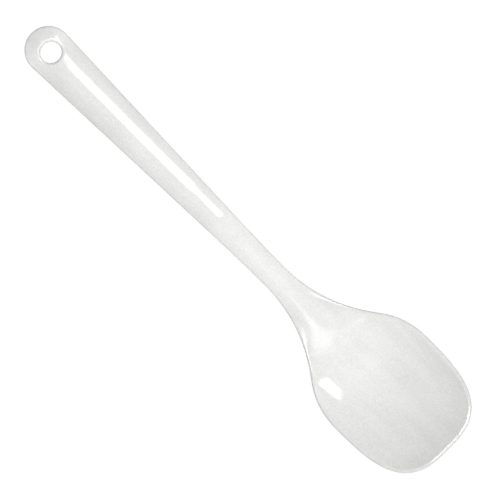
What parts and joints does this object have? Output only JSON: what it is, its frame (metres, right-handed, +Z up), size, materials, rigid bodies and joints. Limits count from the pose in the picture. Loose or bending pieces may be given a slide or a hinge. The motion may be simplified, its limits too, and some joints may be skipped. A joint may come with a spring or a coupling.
{
  "type": "salad serving spoon",
  "caption": "Moulded serving spoon with a domed, tapered handle, a hanging hole at its end, a narrow neck and a shallow, square-tipped bowl for lifting and tossing salad.",
  "frame": {"origin": "on the table, under the middle of the spoon's length and width, with the spoon lying on its bowl and handle end", "axes": "+X from the hanging end to the bowl's tip, +Y across the spoon, +Z up out of the bowl"},
  "size_m": [0.28, 0.0614, 0.0168],
  "materials": {
    "melamine": "glossy white moulded melamine"
  },
  "bodies": {
    "root": {"spoon": "melamine"}
  },
  "joints": []
}
